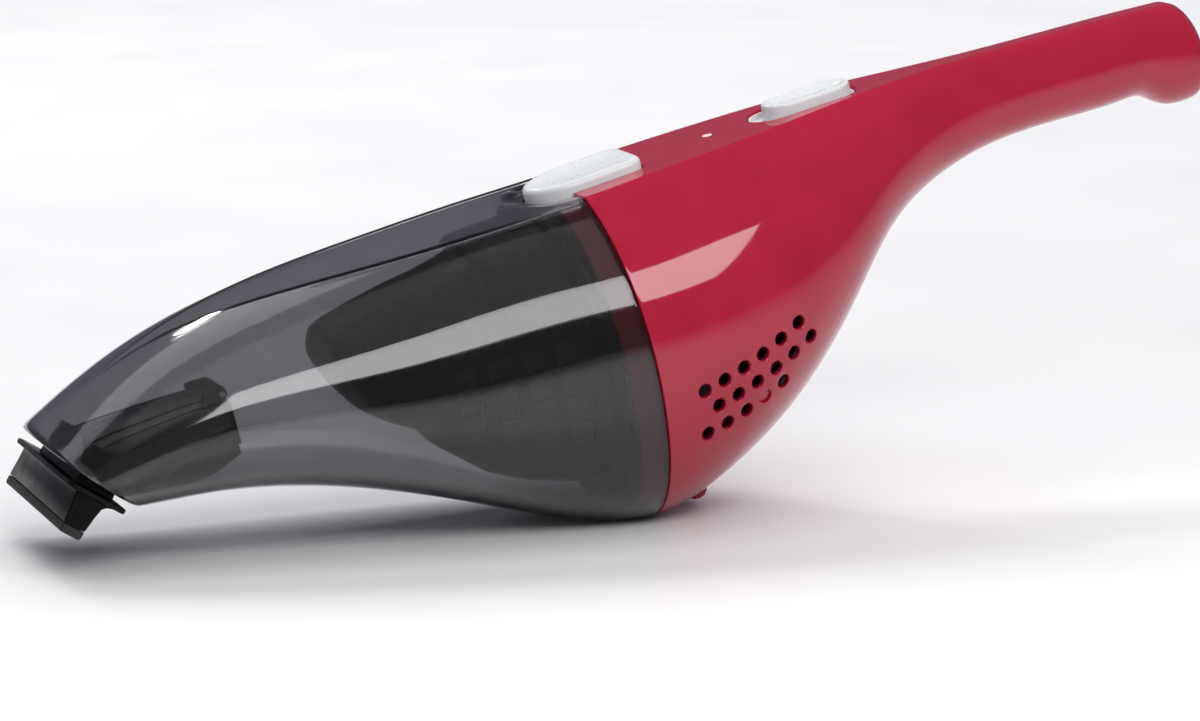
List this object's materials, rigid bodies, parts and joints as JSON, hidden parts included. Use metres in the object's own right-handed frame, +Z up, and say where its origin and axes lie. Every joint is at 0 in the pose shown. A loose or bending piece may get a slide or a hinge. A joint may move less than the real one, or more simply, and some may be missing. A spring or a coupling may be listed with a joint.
{
  "type": "handheld vacuum",
  "caption": "Cordless handheld vacuum with a smoked dust cup, a squeegee nozzle, a red body with a slim handle, a cup release button and a slide switch.",
  "frame": {"origin": "middle of the footprint, on the surface the vacuum stands on", "axes": "+X towards the handle, level with the floor; +Z up; the left hand side is -Y"},
  "size_m": [0.3804, 0.1026, 0.1485],
  "materials": {
    "smoked_cup": "gloss",
    "red_plastic": "gloss",
    "white_plastic": "satin",
    "black_plastic": "satin",
    "black_rubber": "matte",
    "grey_plastic": "satin",
    "steel": "satin",
    "bronze": "satin",
    "winding": "satin",
    "cell": "satin",
    "board": "satin",
    "filter_cloth": "matte",
    "lamp": "gloss"
  },
  "bodies": {
    "body": {"housing_left": "red_plastic", "housing_right": "red_plastic", "front_collar": "red_plastic", "motor_seal": "black_rubber", "fan_shroud": "grey_plastic", "motor_holder": "grey_plastic", "motor_can": "steel", "motor_end_cap": "grey_plastic", "front_bush": "bronze", "rear_bush": "bronze", "battery_cell_1": "cell", "battery_cell_2": "cell", "battery_cell_3": "cell", "battery_cell_4": "cell", "battery_holder": "grey_plastic", "circuit_board": "board", "switch_module": "grey_plastic", "switch_bezel": "white_plastic", "release_spring": "steel", "charge_light": "lamp", "charge_socket": "grey_plastic", "shell_screw_1": "steel", "shell_screw_2": "steel", "shell_screw_3": "steel", "shell_screw_4": "steel"},
    "cup": {"dust_cup": "smoked_cup", "inlet_duct": "black_plastic", "flap_pin": "steel"},
    "flap": {"intake_flap": "black_rubber"},
    "tool": {"squeegee_nozzle": "black_plastic", "squeegee_lip": "black_rubber"},
    "filter": {"filter_frame": "black_plastic", "filter_screen": "black_plastic", "filter_element": "filter_cloth", "filter_seal": "black_rubber"},
    "cup_button": {"release_button": "white_plastic"},
    "power_key": {"switch_knob": "white_plastic"},
    "rotor": {"motor_shaft": "steel", "impeller": "black_plastic", "armature": "winding"}
  },
  "joints": [
    {"name": "cup_pull", "type": "slide", "parent": "body", "child": "cup", "axis": [-0.9688, 0, -0.2478], "range_m": [0, 0.13]},
    {"name": "filter_pull", "type": "slide", "parent": "body", "child": "filter", "axis": [-0.9688, 0, -0.2478], "range_m": [0, 0.0455]},
    {"name": "flap_swing", "type": "hinge", "parent": "cup", "child": "flap", "pos_m": [-0.13532, 0, 0.04679], "axis": [0, -1, 0], "range_deg": [0, 60]},
    {"name": "tool_pull", "type": "slide", "parent": "cup", "child": "tool", "axis": [-0.5247, 0, -0.8513], "range_m": [0, 0.03]},
    {"name": "cup_button_press", "type": "slide", "parent": "body", "child": "cup_button", "axis": [0.2478, 0, -0.9688], "range_m": [0, 0.0023], "stiffness_N_per_m": 700, "springref_m": -0.002, "deforming": ["release_spring"]},
    {"name": "power_key_slide", "type": "slide", "parent": "body", "child": "power_key", "axis": [-0.9688, 0, -0.2478], "range_m": [0, 0.004]},
    {"name": "rotor_spin", "type": "hinge", "parent": "body", "child": "rotor", "pos_m": [0.0238, 0, 0.06355], "axis": [0.9688, 0, 0.2478], "continuous": true}
  ],
  "couplings": [
    {"joint": "filter_pull", "follows": "cup_pull", "ratio": 0.35}
  ]
}
